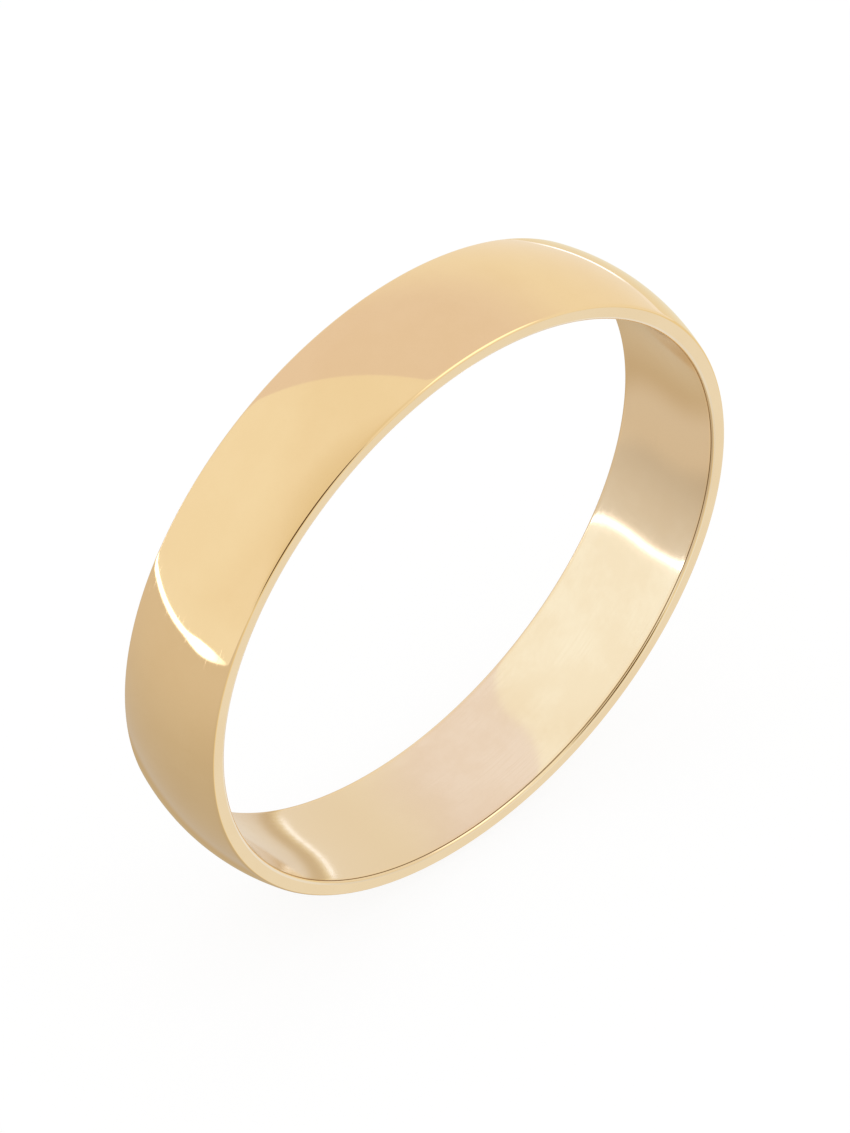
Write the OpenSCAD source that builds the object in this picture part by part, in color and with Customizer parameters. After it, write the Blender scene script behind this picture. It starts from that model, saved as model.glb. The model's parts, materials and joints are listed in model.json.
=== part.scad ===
// Plain wedding band with an eased bore, narrow flat sides and a low domed outside.
// The band is one piece of metal. It stands on its rim, with its axis along Y,
// its origin at the middle of the bore and +Z up.

/* [Finger hole] */
// Inner diameter, where the finger goes
bore_d = 19.8; // [14:0.1:24]
// Length of the straight middle of the bore
bore_land = 1.8; // [1.4:0.1:2.6]
// Radius of the curve that opens the bore slightly towards each side
bore_ease_r = 9; // [8:0.5:20]

/* [Band] */
// Width of the band along its axis
band_w = 4; // [3:0.1:5]
// Thickness of the metal in the middle of the band, at the crown of the dome
crown_t = 0.9; // [0.85:0.05:1.5]
// Thickness from the straight bore to the tops of the flat sides, under the dome
side_t = 0.57; // [0.5:0.01:0.65]

/* [Edges] */
// Radius that softens the edge between the dome and a side
dome_edge_r = 0.12; // [0.03:0.01:0.12]
// Radius that softens the edge between the bore and a side
bore_edge_r = 0.12; // [0.05:0.01:0.15]

/* [Finish] */
// Smoothness of the curves
facets = 240; // [96:24:360]

/* [Hidden] */

bore_r = bore_d / 2;
half_w = band_w / 2;
// The dome is one arc through the crown and the tops of both sides.
dome_rise = crown_t - side_t;
dome_r = (half_w * half_w + dome_rise * dome_rise) / (2 * dome_rise);
dome_x = bore_r + crown_t - dome_r;
// The edge arc at the top of a side touches the dome from inside and the side's flat.
top_y = half_w - dome_edge_r;
top_x = dome_x + sqrt(pow(dome_r - dome_edge_r, 2) - top_y * top_y);
top_angle = atan2(top_y, top_x - dome_x);
// The easing curve starts at the end of the straight middle of the bore.
ease_x = bore_r + bore_ease_r;
ease_y = bore_land / 2;
// The edge arc at the foot of a side touches the easing curve from inside and the side's flat.
foot_y = half_w - bore_edge_r;
foot_x = ease_x - sqrt(pow(bore_ease_r - bore_edge_r, 2) - pow(foot_y - ease_y, 2));
foot_angle = atan2(foot_y - ease_y, foot_x - ease_x);
// How far the cutting shapes run past the surfaces that they trim
past = 0.3;
gold = [0.93, 0.80, 0.56];

// Waste outside a rounded edge of the upper side: the wedge from the angle to the
// side's own direction, less the edge's round
module edge_waste(x, y, r, angle) {
    reach = r + past;
    difference() {
        translate([x, y])
            polygon([
                [0, 0],
                reach * [cos(angle), sin(angle)],
                reach * [cos(angle), 1],
                [0, reach]
            ]);
        translate([x, y])
            circle(r = r, $fn = facets);
    }
}

// Waste inside the easing curve of the bore, towards the upper side
module ease_waste() {
    difference() {
        translate([bore_r - past, ease_y])
            square([2 * past, half_w - ease_y + past]);
        translate([ease_x, ease_y])
            circle(r = bore_ease_r, $fn = facets);
    }
}

// Cross-section of the metal: the distance from the axis runs along X, the width along Y
module section() {
    difference() {
        intersection() {
            translate([bore_r, -half_w])
                square([crown_t, band_w]);
            translate([dome_x, 0])
                circle(r = dome_r, $fn = facets);
        }
        for (side = [0, 1])
            mirror([0, side]) {
                ease_waste();
                edge_waste(foot_x, foot_y, bore_edge_r, foot_angle);
                edge_waste(top_x, top_y, dome_edge_r, top_angle);
            }
    }
}

module band() {
    color(gold)
        rotate([90, 0, 0])
            rotate_extrude($fn = facets)
                section();
}

band();
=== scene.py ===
"""A plain yellow-gold wedding band, polished outside and satin inside, in a soft light tent.

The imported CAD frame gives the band's place and main sizes. The surface made here carries the
look: its section is turned round the bore's axis, which runs along Y, and the band stands on its
rim. Lengths are in metres, written as millimetres times MM.
"""

from __future__ import annotations

import json
import logging
import math
from dataclasses import dataclass, field
from enum import Enum

import bpy
import numpy as np
from mathutils import Matrix, Vector


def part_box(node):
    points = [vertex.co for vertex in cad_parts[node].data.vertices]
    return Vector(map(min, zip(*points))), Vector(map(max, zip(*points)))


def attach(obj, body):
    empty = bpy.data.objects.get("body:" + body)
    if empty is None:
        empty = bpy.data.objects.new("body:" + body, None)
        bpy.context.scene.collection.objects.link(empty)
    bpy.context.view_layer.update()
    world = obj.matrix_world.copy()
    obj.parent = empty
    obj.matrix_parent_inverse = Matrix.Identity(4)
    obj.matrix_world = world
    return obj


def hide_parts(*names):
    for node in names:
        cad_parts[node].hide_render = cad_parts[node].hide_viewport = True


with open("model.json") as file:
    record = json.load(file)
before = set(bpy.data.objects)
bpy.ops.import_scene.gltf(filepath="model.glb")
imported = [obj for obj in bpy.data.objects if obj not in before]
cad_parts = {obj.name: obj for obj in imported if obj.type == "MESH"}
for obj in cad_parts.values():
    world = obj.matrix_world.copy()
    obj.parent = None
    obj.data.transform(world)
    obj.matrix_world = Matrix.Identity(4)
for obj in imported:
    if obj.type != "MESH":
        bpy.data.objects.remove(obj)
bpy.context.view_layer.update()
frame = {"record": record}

LOG = logging.getLogger("wedding_band")
MM = 0.001
Colour = tuple[float, float, float]
Way = tuple[float, float, float]
Pair = tuple[float, float]
X_WAY: Way = (1.0, 0.0, 0.0)
Y_WAY: Way = (0.0, 1.0, 0.0)
Z_WAY: Way = (0.0, 0.0, 1.0)


class Kind(Enum):
    """The shader nodes used here, by what they do."""

    PRINCIPLED = "ShaderNodeBsdfPrincipled"
    DIFFUSE = "ShaderNodeBsdfDiffuse"
    MIX_SHADER = "ShaderNodeMixShader"
    TRANSPARENT = "ShaderNodeBsdfTransparent"
    EMISSION = "ShaderNodeEmission"
    BACKGROUND = "ShaderNodeBackground"
    COORDINATES = "ShaderNodeTexCoord"
    ATTRIBUTE = "ShaderNodeAttribute"
    UV = "ShaderNodeUVMap"
    MAPPING = "ShaderNodeMapping"
    NOISE = "ShaderNodeTexNoise"
    MATH = "ShaderNodeMath"
    VECTOR_MATH = "ShaderNodeVectorMath"
    RANGE = "ShaderNodeMapRange"
    MIX = "ShaderNodeMix"
    BUMP = "ShaderNodeBump"
    MATERIAL_OUTPUT = "ShaderNodeOutputMaterial"
    WORLD_OUTPUT = "ShaderNodeOutputWorld"


class Tree:
    """A short way to write a node tree: each call adds one node and joins it up."""

    def __init__(self, owner: bpy.types.ID) -> None:
        """Empties the owner's node tree.

        Args:
            owner: the material or world that the tree belongs to.
        """
        owner.use_nodes = True
        self.nodes = owner.node_tree.nodes
        self.links = owner.node_tree.links
        self.nodes.clear()

    def add(self, kind: Kind, inputs: dict[str, object] | None = None, **settings: object) -> bpy.types.Node:
        """Adds one node.

        Args:
            kind: which node.
            inputs: socket name or index to a value, or to another node's output socket.
            settings: the node's own properties.

        Returns:
            The new node.
        """
        node = self.nodes.new(kind.value)
        for name, value in settings.items():
            setattr(node, name, value)
        for name, value in (inputs or {}).items():
            self.put(node.inputs[name], value)
        return node

    def put(self, socket: bpy.types.NodeSocket, value: object) -> None:
        """Joins a socket to another node's output, or sets its value."""
        if isinstance(value, bpy.types.NodeSocket):
            self.links.new(value, socket)
        else:
            socket.default_value = value

    def math(self, operation: str, first: object, second: object) -> bpy.types.NodeSocket:
        """Returns first and second combined by one operation of a Math node."""
        return self.add(Kind.MATH, {0: first, 1: second}, operation=operation).outputs[0]

    def product_plus(self, first: object, second: object, third: object) -> bpy.types.NodeSocket:
        """Returns first times second, plus third."""
        return self.add(Kind.MATH, {0: first, 1: second, 2: third}, operation="MULTIPLY_ADD").outputs[0]

    def dot(self, vector: object, way: Way) -> bpy.types.NodeSocket:
        """Returns the vector's dot product with a fixed direction."""
        node = self.add(Kind.VECTOR_MATH, {0: vector, 1: way}, operation="DOT_PRODUCT")
        return node.outputs["Value"]

    def step(
        self, value: object, low: float, high: float, start: float = 0.0, end: float = 1.0
    ) -> bpy.types.NodeSocket:
        """Maps value smoothly from start at low to end at high.

        Args:
            value: the socket to read.
            low: where the change begins.
            high: where the change is complete.
            start: the result at and below low.
            end: the result at and above high.

        Returns:
            The mapped value's socket.
        """
        levels = {"Value": value, "From Min": low, "From Max": high, "To Min": start, "To Max": end}
        return self.add(Kind.RANGE, levels, interpolation_type="SMOOTHSTEP").outputs["Result"]

    def blend(self, factor: object, first: object, second: object) -> bpy.types.NodeSocket:
        """Returns first at factor 0 and second at factor 1, as a colour."""
        node = self.add(Kind.MIX, data_type="RGBA")
        self.put(node.inputs["Factor"], factor)
        self.put(node.inputs["A"], rgba(first))
        self.put(node.inputs["B"], rgba(second))
        return next(out for out in node.outputs if out.type == "RGBA")

    def noise(
        self, vector: object, scale: float, detail: float, roughness: float = 0.5
    ) -> bpy.types.NodeSocket:
        """Returns a noise pattern, about 0.5 on average.

        Args:
            vector: where the pattern is read.
            scale: features per unit of the vector.
            detail: how many finer layers are added.
            roughness: how strong the finer layers are.

        Returns:
            The pattern's socket.
        """
        levels = {"Vector": vector, "Scale": scale, "Detail": detail, "Roughness": roughness}
        return self.add(Kind.NOISE, levels).outputs[0]


def rgba(colour: object) -> object:
    """Adds a full alpha to a plain colour, and leaves a socket as it is."""
    return (*colour, 1.0) if isinstance(colour, tuple) else colour


def line(start: Pair, end: Pair, count: int) -> np.ndarray:
    """Samples a straight stretch: start plus t times the way to end, t from 0 up to but not 1.

    Args:
        start: the first point, as radius and height along the axis.
        end: the point where the next stretch begins.
        count: how many points.

    Returns:
        The points, one row each.
    """
    t = np.arange(count)[:, None] / count
    return np.array(start) + t * (np.array(end) - np.array(start))


def arc(centre: Pair, radius: float, start: float, end: float, count: int) -> np.ndarray:
    """Samples a round stretch: centre plus radius times (cos a, sin a), a from start up to but not end.

    Args:
        centre: the arc's centre, as radius and height along the axis.
        radius: the arc's radius.
        start: the first angle, in radians from the outward direction.
        end: the angle where the next stretch begins.
        count: how many points.

    Returns:
        The points, one row each.
    """
    a = start + (end - start) * np.arange(count) / count
    return np.array(centre) + radius * np.stack([np.cos(a), np.sin(a)], axis=1)


def mesh_from_grid(name: str, points: np.ndarray, closed: tuple[bool, bool]) -> bpy.types.Mesh:
    """Joins a grid of points into quads with smooth shading.

    Quad (i, j) joins points (i, j), (i + 1, j), (i + 1, j + 1) and (i, j + 1), where a closed
    direction starts again at 0. The quads face the side from which i runs right and j runs up.

    Args:
        name: the mesh's name.
        points: an array of rows by columns by 3.
        closed: whether the rows and the columns meet their own start.

    Returns:
        The mesh.
    """
    rows, columns = points.shape[:2]
    i, j = np.meshgrid(
        np.arange(rows if closed[0] else rows - 1),
        np.arange(columns if closed[1] else columns - 1),
        indexing="ij",
    )
    after_i, after_j = (i + 1) % rows, (j + 1) % columns
    near, far = i * columns, after_i * columns
    quads = np.stack([near + j, far + j, far + after_j, near + after_j], axis=-1).reshape(-1, 4)
    mesh = bpy.data.meshes.new(name)
    mesh.vertices.add(rows * columns)
    mesh.vertices.foreach_set("co", points.astype(np.float32).ravel())
    mesh.loops.add(quads.size)
    mesh.loops.foreach_set("vertex_index", quads.astype(np.int32).ravel())
    mesh.polygons.add(len(quads))
    mesh.polygons.foreach_set("loop_start", np.arange(0, quads.size, 4, dtype=np.int32))
    mesh.polygons.foreach_set("loop_total", np.full(len(quads), 4, dtype=np.int32))
    mesh.update(calc_edges=True)
    mesh.validate()
    mesh.shade_smooth()
    return mesh


def place(mesh: bpy.types.Mesh, material: bpy.types.Material) -> bpy.types.Object:
    """Puts a mesh in the scene at the origin, with its material.

    Args:
        mesh: the mesh, with its place in its points.
        material: its only material.

    Returns:
        The object.
    """
    mesh.materials.append(material)
    made = bpy.data.objects.new(mesh.name, mesh)
    bpy.context.scene.collection.objects.link(made)
    return made


def only_in_mirrors(made: bpy.types.Object) -> bpy.types.Object:
    """Leaves an object visible to mirror-like reflections only, and returns it."""
    made.visible_camera = False
    made.visible_diffuse = False
    made.visible_shadow = False
    made.visible_transmission = False
    return made


@dataclass(frozen=True)
class Gold:
    """Yellow gold alloy, polished on the dome and satin in the bore, with the marks of wear and patches of
    painted shade in the bore.
    """

    polished: Colour = (0.926, 0.685, 0.366)
    polished_deep: Colour = (0.912, 0.668, 0.350)
    satin: Colour = (0.990, 0.840, 0.585)
    satin_deep: Colour = (0.950, 0.780, 0.520)
    # Painted shade: the bore's satin where it mirrors the dim table by the band's foot.
    satin_in_painted_shade: Colour = (0.835, 0.645, 0.400)
    # A thin dark line along the front edge of the bore.
    dark_line: Colour = (0.220, 0.135, 0.055)
    polish_roughness: float = 0.045
    satin_roughness: float = 0.105
    edge_roughness: float = 0.05
    scratch_roughness: float = 0.05
    tone_scale: float = 420.0
    tone_span: Pair = (0.35, 0.65)
    grain_scale: float = 9000.0
    grain_strength: float = 0.6
    grain_depth: float = 0.25e-6
    hairline_scale: tuple[float, float, float] = (500.0, 22000.0, 1.0)
    hairline_depth: float = 1.1e-6
    hairline_span: Pair = (0.45, 0.75)
    hairline_tone: float = 0.55
    scratch_scale: tuple[float, float, float] = (700.0, 26000.0, 1.0)
    scratch_turns: tuple[float, ...] = (0.35, 1.30, 2.45)
    scratch_span: Pair = (0.70, 0.76)
    # Where the painted shade lies in the bore, across and up, in metres.
    painted_shade_foot_span: Pair = (2 * MM, -3 * MM)
    painted_shade_foot_height: Pair = (-2 * MM, -6 * MM)
    painted_shade_foot_end: Pair = (-7 * MM, -5 * MM)
    painted_shade_right_span: Pair = (5 * MM, 9 * MM)
    painted_shade_right_height: Pair = (-5 * MM, -1 * MM)
    painted_shade_right_fade: Pair = (3 * MM, 1 * MM)
    painted_shade_right_top: float = 0.6

    def material(self) -> bpy.types.Material:
        """Builds the finish: tones, hairlines along the turning, fine scratches, grain, painted shade in the
        bore and the dark line.

        Returns:
            The material.
        """
        made = bpy.data.materials.new("yellow_gold")
        tree = Tree(made)
        spot = tree.add(Kind.COORDINATES).outputs["Object"]
        bore = tree.add(Kind.ATTRIBUTE, attribute_name="bore").outputs["Fac"]
        edge = tree.add(Kind.ATTRIBUTE, attribute_name="edge").outputs["Fac"]
        dark_line = tree.add(Kind.ATTRIBUTE, attribute_name="dark_line").outputs["Fac"]
        tone = tree.step(tree.noise(spot, self.tone_scale, detail=5.0, roughness=0.62), *self.tone_span)
        polished = tree.blend(tone, self.polished, self.polished_deep)
        lines = self.hairlines(tree)
        satin = tree.blend(tone, self.satin, self.satin_deep)
        lined = tree.step(lines, *self.hairline_span, end=self.hairline_tone)
        satin = tree.blend(lined, satin, self.satin_deep)
        # Painted shade: the satin darkens where the bore mirrors the dim table by the foot.
        satin = tree.blend(self.painted_shade(tree, spot), satin, self.satin_in_painted_shade)
        metal = tree.blend(dark_line, tree.blend(bore, polished, satin), self.dark_line)
        scratches = self.scratches(tree)
        grain = tree.noise(spot, self.grain_scale, detail=2.0)
        rough = tree.product_plus(bore, self.satin_roughness - self.polish_roughness, self.polish_roughness)
        rough = tree.product_plus(edge, self.edge_roughness - self.polish_roughness, rough)
        rough = tree.product_plus(scratches, self.scratch_roughness, rough)
        height = tree.math("MULTIPLY", lines, bore)
        brushed = tree.add(Kind.BUMP, {"Height": height, "Distance": self.hairline_depth, "Strength": 1.0})
        scored = tree.add(
            Kind.BUMP,
            {"Height": scratches, "Distance": self.grain_depth, "Normal": brushed.outputs[0]},
            invert=True,
        )
        grained = tree.add(
            Kind.BUMP,
            {
                "Height": grain,
                "Distance": self.grain_depth,
                "Strength": self.grain_strength,
                "Normal": scored.outputs[0],
            },
        )
        shader = tree.add(
            Kind.PRINCIPLED,
            {
                "Base Color": metal,
                "Metallic": 1.0,
                "Roughness": rough,
                "Normal": grained.outputs[0],
            },
        )
        tree.add(Kind.MATERIAL_OUTPUT, {"Surface": shader.outputs[0]})
        return made

    def painted_shade(self, tree: Tree, spot: bpy.types.NodeSocket) -> bpy.types.NodeSocket:
        """Finds where the bore's satin is darkened as painted shade, where it mirrors the dim table by the
        foot.

        Args:
            tree: the material's node tree.
            spot: the place on the band.

        Returns:
            1 at the foot's left and half way up on the right, less above that, and 0 elsewhere.
        """
        across, height = tree.dot(spot, X_WAY), tree.dot(spot, Z_WAY)
        foot = tree.step(across, *self.painted_shade_foot_span)
        foot = tree.math("MULTIPLY", foot, tree.step(height, *self.painted_shade_foot_height))
        foot = tree.math("MULTIPLY", foot, tree.step(across, *self.painted_shade_foot_end))
        right = tree.step(across, *self.painted_shade_right_span)
        right = tree.math("MULTIPLY", right, tree.step(height, *self.painted_shade_right_height))
        fade = tree.step(height, *self.painted_shade_right_fade, start=self.painted_shade_right_top)
        return tree.math("MAXIMUM", foot, tree.math("MULTIPLY", right, fade))

    def hairlines(self, tree: Tree) -> bpy.types.NodeSocket:
        """Returns fine lines that run round the band, as turning and sanding leave them."""
        run = tree.add(Kind.UV, uv_map="turning").outputs[0]
        stretched = tree.add(Kind.MAPPING, {"Vector": run, "Scale": self.hairline_scale}).outputs[0]
        return tree.noise(stretched, 1.0, detail=2.0, roughness=0.6)

    def scratches(self, tree: Tree) -> bpy.types.NodeSocket:
        """Returns sparse short scratches in a few directions, 1 in a scratch and 0 elsewhere."""
        run = tree.add(Kind.UV, uv_map="turning").outputs[0]
        found: bpy.types.NodeSocket | float = 0.0
        for turn in self.scratch_turns:
            levels = {"Vector": run, "Rotation": (0.0, 0.0, turn), "Scale": self.scratch_scale}
            pattern = tree.noise(tree.add(Kind.MAPPING, levels).outputs[0], 1.0, detail=1.0)
            found = tree.math("MAXIMUM", found, tree.step(pattern, *self.scratch_span))
        return found


@dataclass
class Band:
    """The band: one turned piece with an eased bore, flat sides, a low dome and softened edges."""

    bore_radius: float
    outer_radius: float
    half_width: float
    side_thickness: float = 0.57 * MM
    dome_edge: float = 0.12 * MM
    bore_edge: float = 0.12 * MM
    bore_land: float = 0.6 * MM
    bore_ease: float = 0.0155
    around: int = 768
    ease_points: int = 16
    bore_edge_points: int = 12
    side_points: int = 4
    dome_edge_points: int = 9
    dome_points: int = 18
    land_points: int = 4
    bore_edge_satin: float = 0.6
    wave_depth: float = 0.0008 * MM
    waves: tuple[tuple[float, float, float, float], ...] = (
        (1.0, 9, 2.1, 0.0),
        (0.7, 14, -3.3, 1.0),
        (0.5, 23, 4.1, 0.0),
    )
    gold: Gold = field(default_factory=Gold)

    @classmethod
    def from_frame(cls) -> Band:
        """Reads the bore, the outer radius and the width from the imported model."""
        low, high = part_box("band")
        bore = next(m for m in frame["record"]["mounts"] if m["name"] == "finger_bore")
        return cls(bore["dims"]["r_mm"] * MM, (high[2] - low[2]) / 2, (high[1] - low[1]) / 2)

    def section(self) -> tuple[np.ndarray, dict[str, np.ndarray]]:
        """Works out the closed outline of the metal.

        The dome is one arc of radius (half width squared + rise squared) / (2 rise), where rise is
        the crown's height above the tops of the sides. The bore is straight over its land and then
        opens by k (|y| - land / 2) cubed, in millimetres, with k the easing. Each edge is an arc
        that touches both of its neighbours, so the outline has no corner. Where the bore's edge
        begins depends on the bore's slope there, so that place is found in a few rounds.

        Returns:
            The outline's points as radius and height along the axis, and for each point how much
            it belongs to the bore, to a rounded edge and to the dark line, a thin line of dark colour
            between the bore and the front side.
        """
        rise = self.outer_radius - self.bore_radius - self.side_thickness
        dome_radius = (self.half_width**2 + rise**2) / (2 * rise)
        dome = (self.outer_radius - dome_radius, 0.0)
        top_y = self.half_width - self.dome_edge
        top = (dome[0] + math.sqrt((dome_radius - self.dome_edge) ** 2 - top_y**2), top_y)
        lean = math.atan2(top_y, top[0] - dome[0])
        land_y = self.bore_land / 2
        foot_y = self.half_width - self.bore_edge
        join_y, slope = foot_y, 0.0
        for _ in range(6):
            slope = 3 * self.bore_ease * ((join_y - land_y) / MM) ** 2
            join_y = foot_y + self.bore_edge * slope / math.hypot(1.0, slope)
        join_r = self.bore_radius + self.bore_ease * ((join_y - land_y) / MM) ** 3 * MM
        foot = (join_r + self.bore_edge / math.hypot(1.0, slope), foot_y)
        run = land_y + (join_y - land_y) * np.arange(self.ease_points) / self.ease_points
        ease = np.stack([self.bore_radius + self.bore_ease * ((run - land_y) / MM) ** 3 * MM, run], axis=1)
        quarter = math.pi / 2
        back = math.pi - math.atan(slope)
        side_foot, side_top = (foot[0], self.half_width), (top[0], self.half_width)
        upper = [
            (ease, 1.0, 0.0),
            (arc(foot, self.bore_edge, back, quarter, self.bore_edge_points), self.bore_edge_satin, 1.0),
            (line(side_foot, side_top, self.side_points), 0.0, 0.0),
            (arc(top, self.dome_edge, quarter, lean, self.dome_edge_points), 0.0, 1.0),
            (arc(dome, dome_radius, lean, 0.0, self.dome_points), 0.0, 0.0),
        ]
        crown = np.array([[self.outer_radius, 0.0]])
        points = np.concatenate([stretch for stretch, _, _ in upper] + [crown])
        bore = np.concatenate([np.full(len(stretch), weight) for stretch, weight, _ in upper] + [[0.0]])
        edge = np.concatenate([np.full(len(stretch), weight) for stretch, _, weight in upper] + [[0.0]])
        land = line((self.bore_radius, -land_y), (self.bore_radius, land_y), self.land_points)
        # The dark line takes two points of the front's bore edge, which are mirrored from the back's.
        dark_line = np.zeros(len(points))
        dark_line[len(ease) + 1 : len(ease) + 3] = 1.0
        below = slice(-2, 0, -1)
        outline = np.concatenate([land, points, points[below] * (1.0, -1.0)])
        bore = np.concatenate([np.ones(len(land)), bore, bore[below]])
        edge = np.concatenate([np.zeros(len(land)), edge, edge[below]])
        dark_line = np.concatenate([np.zeros(len(land) + len(dark_line)), dark_line[below]])
        return outline, {"bore": bore, "edge": edge, "dark_line": dark_line}

    def surface(self, outline: np.ndarray) -> np.ndarray:
        """Turns the outline round the axis.

        At turn u and outline point (r, y) the surface is ((r + w) cos u, y, (r + w) sin u). The
        polisher's wave w is a sum of slow sines, a (sin(n u + t y / half width + p) - 1) for each
        row (a, n, t, p) of the waves. It only lowers the dome, by about a micrometre at most.

        Args:
            outline: the section's points as radius and height.

        Returns:
            The grid of points, turns by outline points by 3.
        """
        u = np.linspace(0.0, 2 * math.pi, self.around, endpoint=False)[:, None]
        r, y = outline[:, 0][None, :], outline[:, 1][None, :]
        share = y / self.half_width
        wave = sum(a * (np.sin(n * u + t * share + p) - 1.0) for a, n, t, p in self.waves)
        rise = (r - self.bore_radius - self.side_thickness) / (self.outer_radius - self.bore_radius)
        turned = r + self.wave_depth * wave * np.clip(rise, 0.0, 1.0)
        return np.stack([turned * np.cos(u), y + 0.0 * u, turned * np.sin(u)], axis=-1)

    def build(self) -> bpy.types.Object:
        """Makes the band's mesh, with its turning map and its bore, edge and dark line weights.

        Returns:
            The band's object, in its material.
        """
        outline, weights = self.section()
        mesh = mesh_from_grid("wedding_band", self.surface(outline), (True, True))
        for name, weight in weights.items():
            layer = mesh.attributes.new(name, "FLOAT", "POINT")
            layer.data.foreach_set("value", np.tile(weight, self.around).astype(np.float32))
        self.map_turning(mesh, outline)
        return place(mesh, self.gold.material())

    def map_turning(self, mesh: bpy.types.Mesh, outline: np.ndarray) -> None:
        """Adds a UV map in metres: u runs round the band and v along the section.

        Args:
            mesh: the band's mesh, a closed grid of turns by outline points.
            outline: the section's points.
        """
        count = len(outline)
        stretch = np.linalg.norm(np.roll(outline, -1, axis=0) - outline, axis=1)
        v = np.concatenate([[0.0], np.cumsum(stretch)])
        u = np.arange(self.around + 1) * (2 * math.pi * self.bore_radius / self.around)
        i, j = np.meshgrid(np.arange(self.around), np.arange(count), indexing="ij")
        corners = [(i, j), (i + 1, j), (i + 1, j + 1), (i, j + 1)]
        values = np.stack([np.stack([u[a], v[b]], axis=-1) for a, b in corners], axis=2)
        layer = mesh.uv_layers.new(name="turning")
        layer.uv.foreach_set("vector", values.astype(np.float32).ravel())


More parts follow.
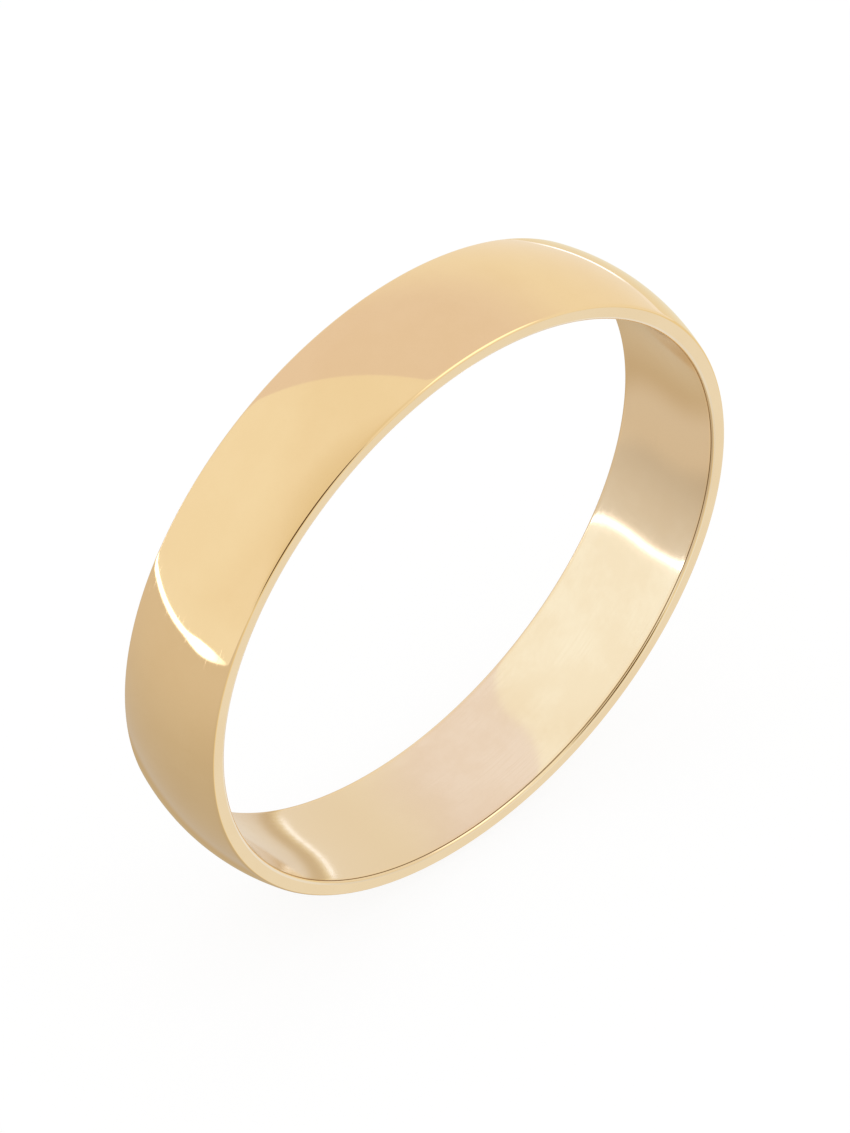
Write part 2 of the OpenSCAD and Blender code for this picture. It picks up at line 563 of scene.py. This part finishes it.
@dataclass(frozen=True)
class LightTent:
    """A small round light tent, seen only in the metal: a table, a lit gap above it and soft walls.

    Each zone is a direction from the tent's middle and a span: the pair of lengths along that
    direction between which the zone's colour comes in.
    """

    radius: float = 60 * MM
    rows: int = 96
    columns: int = 192
    pole: float = 0.002
    wall: Colour = (0.946, 0.942, 0.946)
    wall_lit: Colour = (0.975, 0.995, 1.030)
    lit_way: Way = (-0.6, 0.6, 0.4)
    lit_span: Pair = (46 * MM, 53 * MM)
    close_way: Way = (0.4, 0.0, 1.0)
    close_span: Pair = (-4 * MM, -20 * MM)
    rose: Colour = (0.860, 0.812, 0.890)
    rose_way: Way = (0.893, 0.434, 0.123)
    rose_span: Pair = (14.3 * MM, 15.1 * MM)
    rose_high_way: Way = (-0.6, 0.0, 1.0)
    rose_high_span: Pair = (-10 * MM, 30 * MM)
    lamp: Colour = (1.60, 1.55, 1.50)
    lamp_way: Way = (0.452, -0.645, 0.616)
    lamp_span: Pair = (56 * MM, 58 * MM)
    dim: Colour = (0.860, 0.820, 0.740)
    dim_way: Way = (-0.475, -0.523, 0.708)
    dim_span: Pair = (44 * MM, 55 * MM)
    opening: Colour = (0.080, 0.030, 0.003)
    opening_way: Way = (-0.286, -0.935, 0.208)
    opening_span: Pair = (56.2 * MM, 58.0 * MM)
    table_low: Colour = (0.580, 0.545, 0.510)
    table_high: Colour = (0.738, 0.695, 0.680)
    table_span: Pair = (-50 * MM, -5 * MM)
    table_right: Colour = (0.880, 0.820, 0.650)
    table_right_span: Pair = (4 * MM, 14 * MM)
    table_warm: Colour = (0.560, 0.450, 0.290)
    warm_way: Way = (0.201, 0.532, -0.823)
    warm_span: Pair = (56 * MM, 59 * MM)
    table_front: Colour = (0.895, 0.955, 1.110)
    front_way: Way = (0.480, -0.520, -0.707)
    front_span: Pair = (49 * MM, 55 * MM)
    shade_colour: Colour = (0.790, 0.735, 0.690)
    shade_right: Colour = (0.655, 0.560, 0.430)
    shade_reach: float = 20 * MM
    shade_hole: float = 0.02 * MM
    shade_rings: int = 12
    shade_columns: int = 96
    shade_fade: float = 0.65
    shade_back_span: Pair = (-1 * MM, 2 * MM)
    shade_left_span: Pair = (-6 * MM, -1 * MM)
    shade_right_span: Pair = (2 * MM, 6 * MM)
    gap: Colour = (2.8, 2.9, 3.4)
    gap_faint: Colour = (0.990, 0.990, 1.020)
    gap_faint_span: Pair = (-50 * MM, -35 * MM)
    gap_right: Colour = (1.50, 1.70, 2.20)
    gap_right_span: Pair = (22 * MM, 27 * MM)
    gap_end_span: Pair = (35 * MM, 39 * MM)
    gap_half: float = 1.0 * MM
    gap_level: float = -6.93 * MM
    gap_lean: Way = (0.0787, 0.0310, 1.0)
    gap_taper_span: Pair = (-4 * MM, 13 * MM)
    gap_broad_span: Pair = (26 * MM, 15 * MM)
    gap_broad: Pair = (0.9, 1.9)
    gap_upper_edge: Pair = (-0.1 * MM, 0.1 * MM)
    gap_lower_edge: Pair = (-0.5 * MM, 0.3 * MM)
    right_way: Way = (1.0, -0.6, 0.0)

    def surface(self) -> np.ndarray:
        """Works out a sphere that faces inwards: radius times (sin t cos u, sin t sin u, cos t).

        Returns:
            The grid of points, with a pinhole at each pole.
        """
        t = np.linspace(self.pole, math.pi - self.pole, self.rows)[:, None]
        u = np.linspace(0.0, 2 * math.pi, self.columns, endpoint=False)[None, :]
        sphere = np.stack([np.sin(t) * np.cos(u), np.sin(t) * np.sin(u), np.cos(t) + 0.0 * u], axis=-1)
        return self.radius * sphere

    def material(self) -> bpy.types.Material:
        """Paints the tent's inside: the walls, the gap, the table and the dark opening in front.

        The gap is a thin, slightly tilted line of light round the tent. A taper closes it towards
        the front, another factor thins it at the very back, and its colour changes to the right.

        Returns:
            The material.
        """
        made = bpy.data.materials.new("light_tent")
        tree = Tree(made)
        spot = tree.add(Kind.COORDINATES).outputs["Object"]
        level = tree.math("SUBTRACT", tree.dot(spot, self.gap_lean), self.gap_level)
        back = tree.dot(spot, Y_WAY)
        right = tree.dot(spot, self.right_way)
        taper = tree.step(back, *self.gap_taper_span)
        broad = tree.step(back, *self.gap_broad_span, *self.gap_broad)
        half = tree.math("MULTIPLY", tree.math("MULTIPLY", taper, broad), self.gap_half)
        above = tree.step(tree.math("SUBTRACT", level, half), *self.gap_upper_edge)
        below = tree.step(tree.math("ADD", level, half), *self.gap_lower_edge)
        lit = tree.blend(tree.step(right, *self.gap_faint_span), self.gap, self.gap_faint)
        lit = tree.blend(tree.step(right, *self.gap_right_span), lit, self.gap_right)
        lit = tree.blend(tree.step(right, *self.gap_end_span), lit, self.gap_faint)
        lit = tree.blend(taper, self.wall, lit)
        lower = tree.blend(below, self.table(tree, spot, level, right), lit)
        whole = tree.blend(above, lower, self.walls(tree, spot))
        dark = tree.step(tree.dot(spot, self.opening_way), *self.opening_span)
        glow = tree.add(Kind.EMISSION, {"Color": tree.blend(dark, whole, self.opening)})
        tree.add(Kind.MATERIAL_OUTPUT, {"Surface": glow.outputs[0]})
        return made

    def walls(self, tree: Tree, spot: bpy.types.NodeSocket) -> bpy.types.NodeSocket:
        """Paints the walls.

        Args:
            tree: the tent's node tree.
            spot: the place on the tent.

        Returns:
            Their colour: brighter at the back left and close to the table, rose high on the right,
            with a lamp at the front right and a dimmer part at the front left.
        """
        lit = tree.step(tree.dot(spot, self.lit_way), *self.lit_span)
        close = tree.step(tree.dot(spot, self.close_way), *self.close_span)
        rosy = tree.step(tree.dot(spot, self.rose_way), *self.rose_span)
        high = tree.step(tree.dot(spot, self.rose_high_way), *self.rose_high_span)
        lamp = tree.step(tree.dot(spot, self.lamp_way), *self.lamp_span)
        dim = tree.step(tree.dot(spot, self.dim_way), *self.dim_span)
        walls = tree.blend(tree.math("MAXIMUM", lit, close), self.wall, self.wall_lit)
        walls = tree.blend(tree.math("MULTIPLY", rosy, high), walls, self.rose)
        walls = tree.blend(lamp, walls, self.lamp)
        return tree.blend(dim, walls, self.dim)

    def table(
        self, tree: Tree, spot: bpy.types.NodeSocket, level: bpy.types.NodeSocket, right: bpy.types.NodeSocket
    ) -> bpy.types.NodeSocket:
        """Paints the table.

        Args:
            tree: the tent's node tree.
            spot: the place on the tent.
            level: its height over the gap's middle.
            right: its place from left to right.

        Returns:
            Its colour: darker low down, pale on the right, warm behind and cool in front.
        """
        warm = tree.step(tree.dot(spot, self.warm_way), *self.warm_span)
        front = tree.step(tree.dot(spot, self.front_way), *self.front_span)
        colour = tree.blend(tree.step(level, *self.table_span), self.table_low, self.table_high)
        colour = tree.blend(tree.step(right, *self.table_right_span), colour, self.table_right)
        colour = tree.blend(warm, colour, self.table_warm)
        return tree.blend(front, colour, self.table_front)

    def shade(self, level: float) -> bpy.types.Object:
        """Makes the dim patch of table behind the band's foot, as a disc (t cos u, t sin u, level).

        Args:
            level: the table's height.

        Returns:
            The patch, seen only in the metal, fading out towards its rim, the left and the front.
        """
        t = np.linspace(self.shade_hole, self.shade_reach, self.shade_rings)[:, None]
        u = np.linspace(0.0, 2 * math.pi, self.shade_columns, endpoint=False)[None, :]
        disc = np.stack([t * np.cos(u), t * np.sin(u), level + 0.0 * (t + u)], axis=-1)
        made = bpy.data.materials.new("shaded_table")
        tree = Tree(made)
        spot = tree.add(Kind.COORDINATES).outputs["Object"]
        flat = tree.add(Kind.VECTOR_MATH, {0: spot, 1: (1.0, 1.0, 0.0)}, operation="MULTIPLY").outputs[0]
        reach = tree.add(Kind.VECTOR_MATH, {0: flat}, operation="LENGTH").outputs["Value"]
        inside = tree.step(reach, self.shade_reach, self.shade_fade * self.shade_reach)
        behind = tree.step(tree.dot(spot, Y_WAY), *self.shade_back_span)
        across = tree.dot(spot, X_WAY)
        beside = tree.math("MULTIPLY", behind, tree.step(across, *self.shade_left_span))
        tone = tree.blend(tree.step(across, *self.shade_right_span), self.shade_colour, self.shade_right)
        dim = tree.add(Kind.EMISSION, {"Color": tone})
        open_air = tree.add(Kind.TRANSPARENT)
        cover = tree.math("MULTIPLY", inside, beside)
        mixed = tree.add(Kind.MIX_SHADER, {0: cover, 1: open_air.outputs[0], 2: dim.outputs[0]})
        tree.add(Kind.MATERIAL_OUTPUT, {"Surface": mixed.outputs[0]})
        return only_in_mirrors(place(mesh_from_grid("shaded_table", disc, (False, True)), made))

    def build(self) -> bpy.types.Object:
        """Makes the tent, which only mirror-like reflections see.

        Returns:
            The tent's object.
        """
        mesh = mesh_from_grid("light_tent", self.surface(), (False, True))
        return only_in_mirrors(place(mesh, self.material()))


@dataclass(frozen=True)
class Studio:
    """The pale floor under the band, which glows a little, and the even light round it."""

    floor_level: float
    floor_reach: float = 0.8
    floor_colour: Colour = (0.990, 0.990, 0.990)
    floor_glow: float = 0.88
    glow_strength: float = 1.02
    air: Colour = (1.0, 1.0, 1.0)

    def floor(self) -> bpy.types.Object:
        """Makes the floor: a square at the band's lowest point, (x, y, level) over its reach.

        Returns:
            The floor's object.
        """
        reach = np.linspace(-self.floor_reach, self.floor_reach, 3)
        x, y = np.meshgrid(reach, reach, indexing="ij")
        level = np.full_like(x, self.floor_level)
        mesh = mesh_from_grid("floor", np.stack([x, y, level], axis=-1), (False, False))
        made = bpy.data.materials.new("pale_floor")
        tree = Tree(made)
        colour = rgba(self.floor_colour)
        matt = tree.add(Kind.DIFFUSE, {"Color": colour})
        glow = tree.add(Kind.EMISSION, {"Color": colour, "Strength": self.glow_strength})
        mixed = tree.add(Kind.MIX_SHADER, {0: self.floor_glow, 1: matt.outputs[0], 2: glow.outputs[0]})
        tree.add(Kind.MATERIAL_OUTPUT, {"Surface": mixed.outputs[0]})
        floor = place(mesh, made)
        floor.visible_glossy = False
        return floor

    def light(self) -> None:
        """Fills the world with even white light."""
        world = bpy.data.worlds.new("even_light")
        tree = Tree(world)
        air = tree.add(Kind.BACKGROUND, {"Color": rgba(self.air), "Strength": 1.0})
        tree.add(Kind.WORLD_OUTPUT, {"Surface": air.outputs[0]})
        bpy.context.scene.world = world


@dataclass(frozen=True)
class Viewpoint:
    """The camera: from the front left and above, far off, through a long lens."""

    azimuth: float = -42.25
    elevation: float = 45.08
    distance: float = 291.97 * MM
    lens: float = 306.3
    sensor_width: float = 36.0
    clip_start: float = 10 * MM
    aim_right: float = -0.105 * MM
    aim_up: float = 0.089 * MM

    def build(self) -> bpy.types.Object:
        """Makes the camera and looks through it.

        Returns:
            The camera's object.
        """
        a, e = math.radians(self.azimuth), math.radians(self.elevation)
        back = Vector((math.sin(a) * math.cos(e), -math.cos(a) * math.cos(e), math.sin(e)))
        right = Vector((math.cos(a), math.sin(a), 0.0))
        up = back.cross(right)
        data = bpy.data.cameras.new("viewpoint")
        data.lens = self.lens
        data.sensor_width = self.sensor_width
        data.clip_start = self.clip_start
        data.dof.use_dof = False
        camera = bpy.data.objects.new("viewpoint", data)
        bpy.context.scene.collection.objects.link(camera)
        aim = right * self.aim_right + up * self.aim_up
        turn = Matrix((right, up, back)).transposed().to_4x4()
        camera.matrix_world = Matrix.Translation(aim + back * self.distance) @ turn
        bpy.context.scene.camera = camera
        return camera


def main() -> None:
    """Builds the viewpoint, the studio and the band, attaches the band to the root body and hides the
    imported part.
    """
    logging.basicConfig(level=logging.INFO, format="%(name)s: %(message)s")
    bpy.context.scene.view_settings.view_transform = "Standard"
    Viewpoint().build()
    band = Band.from_frame()
    studio = Studio(floor_level=-band.outer_radius)
    studio.light()
    floor = studio.floor()
    tent = LightTent()
    tent.build()
    tent.shade(studio.floor_level)
    piece = band.build()
    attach(piece, "root")
    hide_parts("band")
    LOG.info("%s has %d faces", piece.name, len(piece.data.polygons))


if __name__ == "__main__":
    main()
